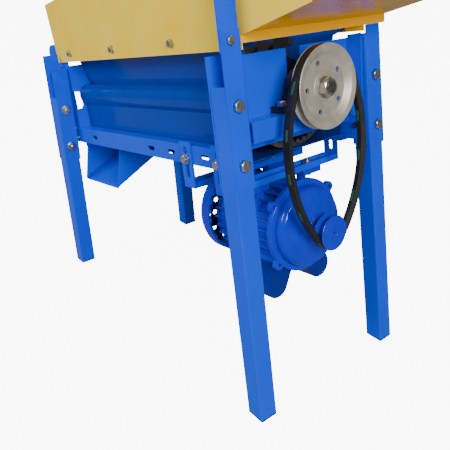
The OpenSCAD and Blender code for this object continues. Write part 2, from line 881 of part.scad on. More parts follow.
module bell_lugs(x0, x1, r) {
    for (a = [38, 142, 218, 322]) rotate([a - 90, 0, 0]) translate([0, 0, r]) difference() {
        along_x(x0, x1) {
            circle(d = 22);
            translate([-11, -20]) square([22, 20]);
        }
        xcyl(x0 - 1, x1 + 1, 4.2);
    }
}

module drive_end_bell() {
    x = bell_x;
    bore = mshaft_d / 2 + 0.4;
    color(motor_blue) at_motor() {
        turned(concat([[26, x + 18], [26, x + 4], [70, x + 4], [70, x], [bell_r, x], [bell_r, x + 9],
            [bell_r - 2, x + 11], [bell_r - 13, x + 11]],
            arc([bell_r - 25, x + 20], 12, 0, 90, 6),
            [[56, x + 35], [42, x + 37], [34, x + 40], [30, x + 44], [28, x + 50],
            [bore, x + 50], [bore, x + 38], [26, x + 38]]));
        difference() {
            bell_lugs(x, x + 10, bell_r + 2);
            xcyl(x - 1, x + 20, bell_r - 8);
        }
    }
}

bearing_seat_far = 96;
module fan_end_bell() {
    bore = mshaft_d / 2 + 0.4;
    x = frame_x0;
    color(motor_blue) at_motor() turned([[bore, 90], [30, 90], [32, x - 4], [fin_r - 8, x - 3],
        [fin_r - 6, x], [70, x],
        [70, x + 4], [40, x + 4], [40, x + 8], [26, x + 8], [26, bearing_seat_far],
            [bore, bearing_seat_far]]);
}

// plain cowl with a guarded back and a gap to the frame, where the air leaves past the teeth
cowl_x0 = 56;
cowl_x1 = 93;
module fan_cowl() {
    t = 1.5;
    teeth = 30;
    color(motor_blue) at_motor() {
        difference() {
            turned([[0, cowl_x0], [cowl_r - 14, cowl_x0], [cowl_r - 4, cowl_x0 + 4],
                [cowl_r, cowl_x0 + 12], [cowl_r, cowl_x1], [cowl_r - t, cowl_x1],
                [cowl_r - t, cowl_x0 + 12], [cowl_r - 5, cowl_x0 + 6], [cowl_r - 14, cowl_x0 + t],
                    [0, cowl_x0 + t]]);
            for (r = [22, 38, 54, 70], i = [0:11]) rotate([30 * i, 0, 0]) translate([0, 0, r])
                xcyl(cowl_x0 - 2, cowl_x0 + 4, r > 30 ? 5.5 : 3.5);
        }
        difference() {
            xring(cowl_x1 - 4, cowl_x1 + 5, cowl_r - t + eps, cowl_r - 2 * t - 1);
            for (i = [0:teeth - 1]) rotate([360 * i / teeth, 0, 0]) translate([cowl_x1, -5, cowl_r - 8])
                cube([10, 10, 12]);
        }
        // fixing studs to the end bell
        for (i = [0:3]) rotate([45 + 90 * i, 0, 0])
            translate([cowl_x1 - 6, -6, fin_r - 12])
                cube([frame_x0 - cowl_x1 + 2.5, 12, cowl_r - t - fin_r + 10]);
    }
}

module motor_bolts() {
    color(zinc) at_motor() for (x = [cradle_near, cradle_far], s = [-1, 1])
        translate([x, s * foot_a / 2, motor_h - 11])
        rotate([180, 0, 0]) {
            hex_bolt(10, 16, 6.4, 11 + bar_t + 14);
            translate([0, 0, -11 - bar_t - 9]) hex_nut(10, 16, 9);
        }
}

// two smooth U-shaped covers under the frame, one for each capacitor, on pads cast on the frame
cap_x0 = 158;
cap_x1 = 256;
cap_r = 29;
cap_c = -133;
cap_seat = -90;
module at_capacitors() {
    for (s = [-1, 1]) rotate([s * 28, 0, 0]) children();
}

module u_outline(r, z_top) {
    polygon(concat([[r, z_top]], [[-r, z_top]], arc([0, cap_c], r, 180, 360, 24)));
}

module capacitor_covers() {
    t = 2;
    color(motor_blue) at_motor() at_capacitors() difference() {
        along_x(cap_x0, cap_x1) u_outline(cap_r, cap_seat);
        along_x(cap_x0 + t, cap_x1 - t) u_outline(cap_r - t, cap_seat + 5);
    }
}

module terminal_box() {
    y0 = fin_r + 2;
    color(motor_blue) at_motor() {
        difference() {
            translate([136, y0, -36]) cube([88, 40, 72]);
            translate([139, y0 + 3, -33]) cube([82, 34, 66]);
        }
        translate([133, y0 + 40, -39]) cube([94, 3, 78]);
    }
}

module cable_gland() {
    color(rubber) at_motor() translate([180, fin_r + 24, -36]) rotate([180, 0, 0]) {
        cylinder(h = 6, d = 24 * hex_k, $fn = 6);
        difference() {
            translate([0, 0, 6]) cylinder(h = 12, d1 = 22, d2 = 18);
            translate([0, 0, 8]) cylinder(h = 20, d = 10);
        }
    }
}

// ---------- motor cradles ----------
arm_w = 36;
module cradle(x) {
    z_low = foot_z;
    y_out = rail_y + bar_t;
    color(frame_blue) tilted() difference() {
        union() {
            // cross bar: a shallow channel, web down, with its slots
            translate([x - arm_w / 2, -y_out, z_low]) cube([arm_w, 2 * y_out, bar_t]);
            for (s = [-1, 1]) translate([x + s * (arm_w / 2 - 1.5) - 1.5, -y_out + 6, z_low])
                cube([3, 2 * y_out - 12, 13]);
            both_sides() translate([x - arm_w / 2, -y_out, z_low]) cube([arm_w, bar_t, -z_low + 8]);
        }
        both_sides() translate([x, -y_out + 10, -34]) rotate([90, 0, 0]) linear_extrude(20)
            rotate(90) slot2d(64, 11);
        both_sides() for (y = [80, 30]) translate([x, -y, z_low - 5]) linear_extrude(bar_t + 10)
            rotate(90) slot2d(30, 11);
    }
}

module motor_cradles() {
    cradle(cradle_near);
    cradle(cradle_far);
}

module cradle_bolts() {
    color(zinc) tilted() both_sides() for (x = [cradle_near, cradle_far])
        translate([x, -rail_y - bar_t, -26]) rotate([90, 0, 0]) {
            translate([0, 0, 2]) hex_bolt(10, 16, 6.4, 20 + bar_t);
            washer(10, 22, 2);
            translate([0, 0, -bar_t - 3 - 9]) hex_nut(10, 16, 9);
        }
}

// ---------- hopper ----------
wall_bolt_x = [-342, -115, 120];
// the front row sits higher than the rear row, which is under the shelf
hopper_bolt_z = [190, 184];
tray_z = 195;
wall_x0 = -440;
stay_bolt_w = 758;
function wall_top(x) = wall_z1 + (wall_z2 - wall_z1) * (x - wall_x0) / (tray_x0 - wall_x0);
tray_end_z = tray_z + (tray_x1 - tray_x0) * tan(tray_slope);

module front_hopper_wall() {
    y0 = -wall_y;
    color(hopper_yellow) tilted() difference() {
        along_y(y0, y0 + hop_t) polygon([[-426, wall_z0], [tray_x0 - 2, wall_z0], [tray_x0 - 2, tray_z - 4],
            [tray_x1, tray_end_z - 4], [tray_x1, tray_end_z + 92], [tray_x0, wall_top(tray_x0)],
                [wall_x0, wall_top(wall_x0)]]);
        at_stay_ear() cylinder(h = 30, d = 8.5, center = true);
        at_hopper_bolts() translate([0, 0, -10]) cylinder(h = 30, d = 8.5);
    }
}

module at_hopper_bolts() {
    for (i = [0, 1], x = wall_bolt_x) mirror([0, i, 0])
        translate([x, -wall_y, hopper_bolt_z[i]]) rotate([90, 0, 0]) children();
}

// the ear of the hopper stay meets the wall here
module at_stay_ear() {
    translate([289.6, -wall_y, 246]) rotate([90, 0, 0]) children();
}

// hood over the drum, discharge end wall, rear wall and its shelf on the post tops
hood_x1 = 40;
module hopper_hood() {
    t = hop_t;
    z_shelf = 192.5;
    y_in = rail_y;
    color(hopper_yellow) tilted() {
        difference() {
            along_x(-426, tray_x0 - 2) polygon(sheet([[y_in, wall_z0], [y_in, z_shelf],
                [rear_y, z_shelf], [rear_y + 44, 300]], t));
            at_hopper_bolts() translate([0, 0, -10]) cylinder(h = 30, d = 8.5);
        }
        // roof over the drum, folded down at the discharge end
        difference() {
            along_y(-wall_y + hop_t, rear_y + 60)
                polygon(sheet([[-427, outlet_top + 0.3], [wall_x0 + 1, wall_top(wall_x0) - t],
                [hood_x1, wall_top(hood_x1) - t]], -t));
            along_x(-500, 400) polygon([[rear_y - 1, 150], [rear_y + t, z_shelf], [rear_y + t + 44, 300],
                [rear_y + t + 100, 430], [400, 430], [400, 150]]);
        }
    }
}

// plan line of the tray's rear edge, which flares outwards
flare_y = rear_y + 62;

module feed_tray() {
    t = hop_t;
    y0 = -wall_y + hop_t;
    cheek_h = 92;
    color(hopper_yellow) tilted() {
        // skirt and sloping floor
        intersection() {
            along_y(y0, flare_y) polygon(sheet([[tray_x0, 180], [tray_x0, tray_z],
                [tray_x1, tray_end_z]], t));
            linear_extrude(600) polygon([[tray_x0 - t, y0], [tray_x1, y0], [tray_x1, flare_y],
                [tray_x0, rear_y], [tray_x0 - t, rear_y]]);
        }
        // rear cheek
        intersection() {
            linear_extrude(600) polygon(sheet([[tray_x0 - t, rear_y - 1], [tray_x0, rear_y],
                [tray_x1, flare_y]], -t));
            along_y(rear_y - 9, flare_y + 9)
                polygon([[tray_x0 - t, tray_z], [tray_x0, tray_z], [tray_x1, tray_end_z],
                    [tray_x1, tray_end_z + cheek_h], [tray_x0 - t, 300]]);
        }
    }
}

module hopper_bolts() {
    color(zinc) tilted() at_hopper_bolts() {
        translate([0, 0, 1.6]) hex_bolt(8, 13, 5.3, 16);
        washer(8, 16, 1.6);
        translate([0, 0, -hop_t - 3 - shell_t - 6.5]) hex_nut(8, 13, 6.5);
    }
    color(zinc) tilted() at_stay_ear() {
        translate([0, 0, post_t + 2]) hex_bolt(8, 13, 5.3, 16);
        translate([0, 0, -hop_t - 6.5]) hex_nut(8, 13, 6.5);
    }
}

module front_near_post() { post(true, true); }
module rear_near_post() { post(true, false); }
module front_far_post() { post(false, true); }
module rear_far_post() { post(false, false); }
module front_near_leg() { leg(true, true); }
module rear_near_leg() { leg(true, false); }
module front_far_leg() { leg(false, true); }
module rear_far_leg() { leg(false, false); }
module front_rail() { rail(true); }
module rear_rail() { rail(false); }

// ---------- what is drawn ----------
front_near_post();
rear_near_post();
front_far_post();
rear_far_post();
front_near_leg();
rear_near_leg();
front_far_leg();
rear_far_leg();
leg_caps();
leg_bolts();
leg_nuts();
frame_bolts();
hopper_stay();
front_rail();
rear_rail();
near_end_beam();
far_end_beam();
near_end_plate();
far_end_plate();
drum_shell();
concave_bars();
concave_ribs();
grain_pan();
grain_chute();
cob_outlet();
rotor_shaft();
rotor_tube();
beaters();
cob_thrower();
bearing_housings();
bearing_outer_rings();
bearing_balls();
bearing_inner_rings();
bearing_bolts();
driven_pulley();
pulley_key();
pulley_washer();
pulley_nut();
drive_belt();
motor_pulley();
motor_pulley_key();
motor_shaft();
motor_rotor();
motor_fan();
motor_bearings();
motor_stator();
motor_frame();
drive_end_bell();
fan_end_bell();
fan_cowl();
motor_bolts();
capacitor_covers();
terminal_box();
cable_gland();
motor_cradles();
cradle_bolts();
front_hopper_wall();
hopper_hood();
feed_tray();
hopper_bolts();
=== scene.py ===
import json
from math import atan2, cos, pi, radians, sin

import bpy
from mathutils import Matrix, Vector

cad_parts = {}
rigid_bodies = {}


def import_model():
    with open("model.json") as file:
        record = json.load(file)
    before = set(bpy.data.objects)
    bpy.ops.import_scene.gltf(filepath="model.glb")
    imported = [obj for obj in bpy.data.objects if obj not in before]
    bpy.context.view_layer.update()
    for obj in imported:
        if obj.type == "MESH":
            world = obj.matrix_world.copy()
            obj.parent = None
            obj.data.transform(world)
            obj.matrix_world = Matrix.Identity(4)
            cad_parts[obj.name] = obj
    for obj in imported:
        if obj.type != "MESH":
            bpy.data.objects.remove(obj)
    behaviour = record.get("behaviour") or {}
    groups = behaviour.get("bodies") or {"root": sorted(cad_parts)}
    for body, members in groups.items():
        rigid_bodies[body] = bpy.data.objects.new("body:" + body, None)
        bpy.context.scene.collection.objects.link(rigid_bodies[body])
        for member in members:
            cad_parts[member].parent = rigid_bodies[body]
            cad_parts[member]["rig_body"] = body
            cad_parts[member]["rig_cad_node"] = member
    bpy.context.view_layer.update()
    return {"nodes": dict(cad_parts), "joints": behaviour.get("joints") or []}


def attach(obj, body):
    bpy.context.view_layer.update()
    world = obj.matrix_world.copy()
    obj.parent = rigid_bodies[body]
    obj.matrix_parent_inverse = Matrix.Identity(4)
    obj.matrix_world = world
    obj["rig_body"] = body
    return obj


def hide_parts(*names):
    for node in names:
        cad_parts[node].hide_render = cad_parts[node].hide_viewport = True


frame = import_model()
nodes = frame["nodes"]
joints = {joint["name"]: joint for joint in frame["joints"]}
mm = 0.001

# turned pieces: facets round a full turn, and how close two points must be to be one
TURNED_FACETS = 96
SAME_POINT = 0.00001
# how near white the floor and the backdrop look to the camera
GLARE = 9.0

# the two pulleys share the belt's line: places along the shaft, in mm
PULLEY_BACK, PULLEY_FRONT = 338.3, 359.3
PULLEY_MIDDLE = (PULLEY_BACK + PULLEY_FRONT) / 2
GROOVE_DEPTH = 11.5
GROOVE_HALF_MOUTH, GROOVE_HALF_FLOOR = 8.95, 5.4


# ---------- working axes ----------
def machine_axes(joint_name):
    """The tilted axes of the drum, with their origin where that joint's axis is stated.

    x runs along the shaft and z up from it."""
    joint = joints[joint_name]
    along = Vector(joint["axis"]).normalized()
    across = Vector((0, 1, 0))
    up = along.cross(across)
    matrix = Matrix((along, across, up)).transposed().to_4x4()
    matrix.translation = Vector(joint["pos_m"])
    return matrix


ROTOR = machine_axes("rotor_spin")
MOTOR = machine_axes("motor_spin")
SLOPE = atan2(ROTOR[2][0], ROTOR[0][0])


# ---------- small tools ----------
def deselect_all():
    bpy.ops.object.select_all(action="DESELECT")


def make_active(piece):
    deselect_all()
    piece.select_set(True)
    bpy.context.view_layer.objects.active = piece


def finish_modifiers(piece):
    make_active(piece)
    for modifier in list(piece.modifiers):
        bpy.ops.object.modifier_apply(modifier=modifier.name)


def settle(piece, axes):
    """Leaves the piece in its place in the given axes, with its own object at the world's origin."""
    make_active(piece)
    piece.matrix_world = axes @ piece.matrix_world
    bpy.ops.object.transform_apply(location=True, rotation=True, scale=True)


def smooth(piece, angle=32):
    make_active(piece)
    bpy.ops.object.shade_smooth_by_angle(angle=radians(angle))
    # large flat faces keep their own normal beside the narrow rounded edges
    even = piece.modifiers.new("even shading", "WEIGHTED_NORMAL")
    even.keep_sharp = True
    finish_modifiers(piece)


def ease_edges(piece, width, segments=2, angle=30):
    bevel = piece.modifiers.new("eased edges", "BEVEL")
    bevel.width = width * mm
    bevel.segments = segments
    bevel.limit_method = "ANGLE"
    bevel.angle_limit = radians(angle)
    bevel.use_clamp_overlap = True
    bevel.harden_normals = False
    finish_modifiers(piece)


def eased_copy(node, width, segments=2, angle=30, smooth_angle=32):
    """A copy of a frame piece with its edges broken, which stands in for it."""
    piece = nodes[node].copy()
    piece.data = nodes[node].data.copy()
    piece.name = node + "_eased"
    piece.parent = None
    piece.matrix_world = Matrix.Identity(4)
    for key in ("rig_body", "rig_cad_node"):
        if key in piece:
            del piece[key]
    bpy.context.scene.collection.objects.link(piece)
    make_active(piece)
    bpy.ops.object.mode_set(mode="EDIT")
    bpy.ops.mesh.select_all(action="SELECT")
    bpy.ops.mesh.remove_doubles(threshold=0.00002)
    bpy.ops.mesh.dissolve_limited(angle_limit=radians(1.5))
    bpy.ops.object.mode_set(mode="OBJECT")
    ease_edges(piece, width, segments, angle)
    smooth(piece, smooth_angle)
    stand_for(piece, node)
    return piece


def spun(name, outline, axes, rounding):
    """A turned piece: its outline is drawn point by point and spun round the shaft.

    The outline's points are (radius, place along the shaft), in mm."""
    radius, along = outline[0]
    bpy.ops.mesh.primitive_plane_add(size=10 * mm, location=(0, 0, 0))
    piece = bpy.context.object
    piece.name = name
    bpy.ops.object.mode_set(mode="EDIT")
    bpy.ops.mesh.select_all(action="SELECT")
    bpy.ops.mesh.merge(type="CENTER")
    bpy.ops.transform.translate(value=(along * mm, 0, radius * mm))
    for (r0, x0), (r1, x1) in zip(outline, outline[1:] + outline[:1]):
        step = ((x1 - x0) * mm, 0, (r1 - r0) * mm)
        bpy.ops.mesh.extrude_region_move(TRANSFORM_OT_translate={"value": step})
    bpy.ops.mesh.select_all(action="SELECT")
    bpy.ops.mesh.remove_doubles(threshold=SAME_POINT)
    bpy.ops.mesh.spin(steps=TURNED_FACETS, angle=2 * pi, center=(0, 0, 0), axis=(1, 0, 0))
    bpy.ops.mesh.select_all(action="SELECT")
    bpy.ops.mesh.remove_doubles(threshold=SAME_POINT)
    bpy.ops.mesh.normals_make_consistent(inside=False)
    bpy.ops.object.mode_set(mode="OBJECT")
    ease_edges(piece, rounding, 2, 25)
    settle(piece, axes)
    return piece


def rod(radius, x0, x1, y, z, axes, sides=32):
    """A round bar along the shaft's direction, used to drill holes and to start the lugs."""
    bpy.ops.mesh.primitive_cylinder_add(
        vertices=sides, radius=radius * mm, depth=(x1 - x0) * mm, rotation=(0, pi / 2, 0),
        location=((x0 + x1) / 2 * mm, y * mm, z * mm))
    bar = bpy.context.object
    settle(bar, axes)
    return bar


def drill(piece, cutter):
    cut = piece.modifiers.new("hole", "BOOLEAN")
    cut.operation = "DIFFERENCE"
    cut.object = cutter
    finish_modifiers(piece)
    bpy.data.objects.remove(cutter)


def arc_points(centre_r, centre_x, radius, start, end, count):
    """Points of an arc in an outline; angles are in degrees, from outwards towards the shaft's end."""
    steps = [radians(start + (end - start) * i / count) for i in range(count + 1)]
    return [(centre_r + radius * cos(a), centre_x + radius * sin(a)) for a in steps]


def body_of(node):
    return nodes[node].get("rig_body")


def stand_for(piece, *names):
    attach(piece, body_of(names[0]))
    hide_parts(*names)


# ---------- materials ----------
def srgb(hex_colour):
    channels = [int(hex_colour[i:i + 2], 16) / 255 for i in (1, 3, 5)]
    linear = [c / 12.92 if c <= 0.04045 else ((c + 0.055) / 1.055) ** 2.4 for c in channels]
    return (*linear, 1.0)


def add_node(tree, kind, settings=(), links=()):
    """Adds one node: settings are {name or socket: value}, links are {socket: where it comes from}."""
    node = tree.nodes.new(kind)
    for name, value in dict(settings).items():
        if isinstance(name, int) or name in node.inputs:
            node.inputs[name].default_value = value
        else:
            setattr(node, name, value)
    for socket, source in dict(links).items():
        tree.links.new(source, node.inputs[socket])
    return node


def new_finish(name, **settings):
    """A material with one shader whose plain settings are given, and its object coordinates."""
    material = bpy.data.materials.new(name)
    material.use_nodes = True
    tree = material.node_tree
    tree.nodes.clear()
    plain_settings = {key.replace("_", " "): value for key, value in settings.items()}
    shader = add_node(tree, "ShaderNodeBsdfPrincipled", plain_settings)
    output = add_node(tree, "ShaderNodeOutputMaterial")
    tree.links.new(shader.outputs["BSDF"], output.inputs["Surface"])
    place = add_node(tree, "ShaderNodeTexCoord").outputs["Object"]
    return material, tree, shader, place


def noise(tree, place, size, detail=2.0, roughness=0.5):
    """Noise whose features are about size metres across."""
    return add_node(tree, "ShaderNodeTexNoise", {"Scale": 1 / size, "Detail": detail, "Roughness": roughness},
                    {"Vector": place}).outputs["Fac"]


def ramp(tree, source, low, high, colours):
    node = add_node(tree, "ShaderNodeValToRGB", links={"Fac": source})
    node.color_ramp.elements[0].position = low
    node.color_ramp.elements[1].position = high
    node.color_ramp.elements[0].color = srgb(colours[0])
    node.color_ramp.elements[1].color = srgb(colours[1])
    return node.outputs["Color"]


def bumps(tree, shader, layers):
    """Stacks bump layers, each (height source, distance in metres, strength), on the shader's normal."""
    normal = None
    for height, distance, strength in layers:
        links = {"Height": height}
        if normal:
            links["Normal"] = normal
        bump = add_node(tree, "ShaderNodeBump", {"Distance": distance, "Strength": strength}, links)
        normal = bump.outputs["Normal"]
    tree.links.new(normal, shader.inputs["Normal"])


def coated_sheet(name, colour, shade, gloss, wave):
    """Polyester powder coat baked on thin steel sheet: an even colour under a clear gloss, with a fine
    orange peel and the slow waves of sheet that was folded and welded."""
    material, tree, shader, place = new_finish(name, Roughness=gloss, Specular_IOR_Level=0.2)
    patch = noise(tree, place, 90 * mm, 3.0)
    tree.links.new(ramp(tree, patch, 0.3, 0.75, (shade, colour)), shader.inputs["Base Color"])
    # real orange peel is near 1.5 mm across; drawn at 5 mm so that it shows
    peel = noise(tree, place, 5 * mm, 1.0)
    slow = noise(tree, place, 130 * mm, 1.0)
    bumps(tree, shader, [(peel, 0.12 * mm, 0.25), (slow, wave * mm, 0.6)])
    return material


def plated_steel(name, colour, shade, roughness):
    """Bright zinc plate or bare steel: metallic, slightly cloudy, with faint drawing marks."""
    material, tree, shader, place = new_finish(name, Metallic=1.0)
    cloud = noise(tree, place, 7 * mm, 4.0)
    tree.links.new(ramp(tree, cloud, 0.3, 0.7, (shade, colour)), shader.inputs["Base Color"])
    spread = add_node(tree, "ShaderNodeMapRange",
                      {"To Min": roughness - 0.07, "To Max": roughness + 0.1}, {"Value": cloud})
    tree.links.new(spread.outputs["Result"], shader.inputs["Roughness"])
    bumps(tree, shader, [(noise(tree, place, 1.5 * mm, 2.0), 0.02 * mm, 0.3)])
    return material


def shaft_place(tree, place, axes):
    """Object coordinates moved and turned so that x runs along a shaft of the machine."""
    centred = add_node(tree, "ShaderNodeMapping",
                       {"vector_type": "POINT", "Location": -axes.translation}, {"Vector": place})
    return add_node(tree, "ShaderNodeMapping", {"vector_type": "POINT", "Rotation": (0, SLOPE, 0)},
                    {"Vector": centred.outputs["Vector"]}).outputs["Vector"]


def turned_iron():
    """Fine-turned pale grey iron: a satin metal with faint rings from the lathe tool and a warm cast."""
    material, tree, shader, place = new_finish("turned_grey_iron", Metallic=0.6, Roughness=0.5)
    shaft = shaft_place(tree, place, ROTOR)
    cloud = noise(tree, shaft, 25 * mm, 4.0)
    tree.links.new(ramp(tree, cloud, 0.3, 0.7, ("#B0A89C", "#CCC4B8")), shader.inputs["Base Color"])
    # tool feed marks are near 0.3 mm; drawn at 2.2 mm so that they show
    feed = 2.2 * mm
    rings = add_node(tree, "ShaderNodeTexWave",
                     {"wave_type": "RINGS", "rings_direction": "X", "Scale": 2 * pi / (20 * feed)},
                     {"Vector": shaft})
    grain = noise(tree, shaft, 4 * mm, 3.0)
    bumps(tree, shader, [(rings.outputs["Fac"], 0.05 * mm, 0.25), (grain, 0.05 * mm, 0.3)])
    return material


def cast_paint(name, colour, shade, gloss, grain):
    """Air-drying enamel over an iron or aluminium casting: deep gloss with the grain of the sand under it."""
    material, tree, shader, place = new_finish(name, Roughness=gloss, Specular_IOR_Level=0.3)
    patch = noise(tree, place, 40 * mm, 3.0)
    tree.links.new(ramp(tree, patch, 0.3, 0.75, (shade, colour)), shader.inputs["Base Color"])
    sand = noise(tree, place, 3.5 * mm, 2.0)
    slow = noise(tree, place, 30 * mm, 1.0)
    bumps(tree, shader, [(sand, grain * mm, 0.35), (slow, 0.5 * mm, 0.4)])
    return material


def dull_black(name, colour, shade, roughness, grain_size, grain):
    """Black rubber or moulded plastic: matt, with a fine grain and a greyish bloom."""
    material, tree, shader, place = new_finish(name, Roughness=roughness, IOR=1.52)
    bloom = noise(tree, place, 18 * mm, 4.0)
    tree.links.new(ramp(tree, bloom, 0.35, 0.8, (colour, shade)), shader.inputs["Base Color"])
    bumps(tree, shader, [(noise(tree, place, grain_size * mm, 3.0), grain * mm, 0.6)])
    return material


frame_coat = coated_sheet("blue_powder_coat", "#0052F4", "#004CE8", 0.15, 1.0)
# the drum shell and grain pan take a darker copy of the frame's blue: painted shade for the drum sitting under
# the hopper's overhang
drum_coat_painted_shade = coated_sheet("blue_powder_coat_painted_shade", "#003CB0", "#0036A0", 0.12, 1.6)
hopper_coat = coated_sheet("yellow_powder_coat", "#FFC000", "#FFB400", 0.2, 2.0)
# the front hopper wall takes a paler copy of the hood's yellow: a painted reflection of the white floor
wall_coat_painted_reflection = coated_sheet("yellow_powder_coat_painted_reflection", "#FFDC50", "#FFD22C", 0.12, 2.4)
# the capacitor covers are darkened to a navy blue: painted shade and a painted dark reflection
cover_coat_painted_shade = coated_sheet("dark_sheet_enamel_painted_shade", "#0028A0", "#001C70", 0.12, 0.6)
motor_paint = cast_paint("motor_blue_enamel", "#0030D8", "#002AC4", 0.12, 0.1)
zinc_plate = plated_steel("bright_zinc_plate", "#CFCDC2", "#A9A79B", 0.3)
bare_steel = plated_steel("bare_steel", "#8E8C88", "#6D6B68", 0.38)
black_iron = cast_paint("dark_cast_iron", "#3A3C3F", "#2B2D30", 0.5, 0.3)
pulley_iron = turned_iron()
belt_rubber = dull_black("wrapped_belt_rubber", "#161616", "#262523", 0.55, 1.6, 0.1)


def belt_print(material):
    """Plain green dashes along the back of the belt, with no lettering."""
    half_width, pitch, length = 2.6 * mm, 75 * mm, 20 * mm
    tree = material.node_tree
    shader = next(node for node in tree.nodes if node.type == "BSDF_PRINCIPLED")
    plain = shader.inputs["Base Color"].links[0].from_socket
    place = next(node for node in tree.nodes if node.type == "TEX_COORD").outputs["Object"]
    axes = add_node(tree, "ShaderNodeSeparateXYZ", links={"Vector": shaft_place(tree, place, ROTOR)})
    in_line = add_node(tree, "ShaderNodeMath",
                       {"operation": "COMPARE", 1: PULLEY_MIDDLE * mm, 2: half_width}, {0: axes.outputs["X"]})
    steps = add_node(tree, "ShaderNodeMath", {"operation": "WRAP", 1: pitch, 2: 0.0}, {0: axes.outputs["Z"]})
    dash = add_node(tree, "ShaderNodeMath", {"operation": "LESS_THAN", 1: length}, {0: steps.outputs[0]})
    mark = add_node(tree, "ShaderNodeMath", {"operation": "MULTIPLY"},
                    {0: in_line.outputs[0], 1: dash.outputs[0]})
    mix = add_node(tree, "ShaderNodeMix", {"data_type": "RGBA"})
    tree.links.new(mark.outputs[0], mix.inputs[0])
    tree.links.new(plain, mix.inputs[6])
    mix.inputs[7].default_value = srgb("#2F6B45")
    tree.links.new(mix.outputs[2], shader.inputs["Base Color"])


belt_print(belt_rubber)
cap_plastic = dull_black("black_moulded_plastic", "#121212", "#1E1E1E", 0.4, 1.0, 0.03)

# the upright and level members, and the nuts and bolts, which share a finish and an edge
STAND = ["front_near_leg", "rear_near_leg", "front_far_leg", "rear_far_leg", "front_near_post",
         "rear_near_post", "front_far_post", "rear_far_post", "hopper_stay", "front_rail", "rear_rail"]
FASTENERS = ["leg_bolts", "leg_nuts", "frame_bolts", "bearing_bolts", "pulley_washer", "pulley_nut",
             "motor_bolts", "cradle_bolts", "hopper_bolts"]

FINISHES = {
    frame_coat: [*STAND, "near_end_beam", "far_end_beam", "near_end_plate", "far_end_plate", "grain_chute",
                 "cob_outlet", "motor_cradles"],
    drum_coat_painted_shade: ["drum_shell", "grain_pan"],
    hopper_coat: ["hopper_hood", "feed_tray"],
    wall_coat_painted_reflection: ["front_hopper_wall"],
    cover_coat_painted_shade: ["capacitor_covers"],
    motor_paint: ["motor_pulley", "motor_frame", "drive_end_bell", "fan_end_bell", "fan_cowl", "terminal_box"],
    zinc_plate: [*FASTENERS, "bearing_balls"],
    bare_steel: ["rotor_shaft", "rotor_tube", "concave_bars", "concave_ribs", "bearing_outer_rings",
                 "bearing_inner_rings", "pulley_key", "motor_pulley_key", "motor_shaft", "motor_rotor",
                 "motor_stator", "motor_bearings"],
    black_iron: ["bearing_housings", "beaters", "cob_thrower"],
    pulley_iron: ["driven_pulley"],
    belt_rubber: ["drive_belt"],
    cap_plastic: ["leg_caps", "cable_gland", "motor_fan"],
}


def give_finish(piece, material):
    piece.data.materials.clear()
    piece.data.materials.append(material)


for material, names in FINISHES.items():
    for name in names:
        give_finish(nodes[name], material)

deselect_all()

# ---------- sheet, tube and fasteners with broken edges ----------
# how wide each piece's edges are broken, in mm
EDGE_WIDTHS = {
    0.7: [*STAND, "near_end_beam", "far_end_beam", "near_end_plate", "far_end_plate", "grain_chute", "cob_outlet",
          "motor_cradles", "drum_shell", "front_hopper_wall", "hopper_hood", "feed_tray"],
    3.0: ["capacitor_covers"],
    0.5: ["motor_frame", "fan_cowl", "terminal_box", "bearing_housings", "beaters", "cob_thrower"],
    0.6: [*FASTENERS, "drive_belt"],
}
for width, names in EDGE_WIDTHS.items():
    for name in names:
        eased_copy(name, width)

# ---------- pulleys and the motor's front bell ----------
def groove_outline(rim):
    """The belt groove, from its back edge to its front edge."""
    bottom = rim - GROOVE_DEPTH
    return [(rim, PULLEY_MIDDLE - GROOVE_HALF_MOUTH), (bottom, PULLEY_MIDDLE - GROOVE_HALF_FLOOR),
            (bottom, PULLEY_MIDDLE + GROOVE_HALF_FLOOR), (rim, PULLEY_MIDDLE + GROOVE_HALF_MOUTH)]


def make_driven_pulley():
    """A dished wheel: a hub, a thin web with a ring of holes and a deep rim."""
    rim, bore, hub, face, web = 72.5, 12.6, 24, 348.0, 5
    holes, hole_circle, hole_radius, first_hole = 5, 43, 4.5, 18
    outline = [(bore, PULLEY_BACK), (hub, PULLEY_BACK), (hub, face - web), (52, face - web),
               (56, PULLEY_BACK + 1), (57, PULLEY_BACK), (rim, PULLEY_BACK)]
    outline += groove_outline(rim)
    outline += [(rim, PULLEY_FRONT - 0.8), (rim - 0.8, PULLEY_FRONT), (rim - 3, PULLEY_FRONT - 0.3),
                (62.5, PULLEY_FRONT - 1.6), (61, PULLEY_FRONT - 2.6), (53, face + 0.9), (51.5, face)]
    # a shallow ring turned in the hub's face
    outline += [(27.4, face), (26.6, face - 0.8), (25.6, face - 0.8), (24.8, face), (bore, face)]
    pulley = spun("driven_pulley_turned", outline, ROTOR, 0.35)
    for i in range(holes):
        turn = radians(360 / holes * i + first_hole)
        y, z = -hole_circle * sin(turn), hole_circle * cos(turn)
        drill(pulley, rod(hole_radius, PULLEY_BACK - 5, PULLEY_FRONT + 5, y, z, ROTOR))
    give_finish(pulley, pulley_iron)
    smooth(pulley, 30)
    stand_for(pulley, "driven_pulley")


def make_motor_pulley():
    """A solid wheel with a short hub behind it and a closed front face."""
    rim, bore, hub, hub_length = 34.5, 12.1, 20, 9
    outline = [(bore, PULLEY_BACK - hub_length), (hub, PULLEY_BACK - hub_length), (hub, PULLEY_BACK),
               (rim, PULLEY_BACK)]
    outline += groove_outline(rim)
    outline += [(rim, PULLEY_FRONT - 1), (rim - 1, PULLEY_FRONT), (10.2, PULLEY_FRONT), (9.4, PULLEY_FRONT - 0.8),
                (8, PULLEY_FRONT - 0.8), (7.4, PULLEY_FRONT), (3.6, PULLEY_FRONT), (2.2, PULLEY_FRONT - 3),
                (bore, PULLEY_FRONT - 3)]
    pulley = spun("motor_pulley_turned", outline, MOTOR, 0.4)
    give_finish(pulley, motor_paint)
    smooth(pulley, 30)
    stand_for(pulley, "motor_pulley")


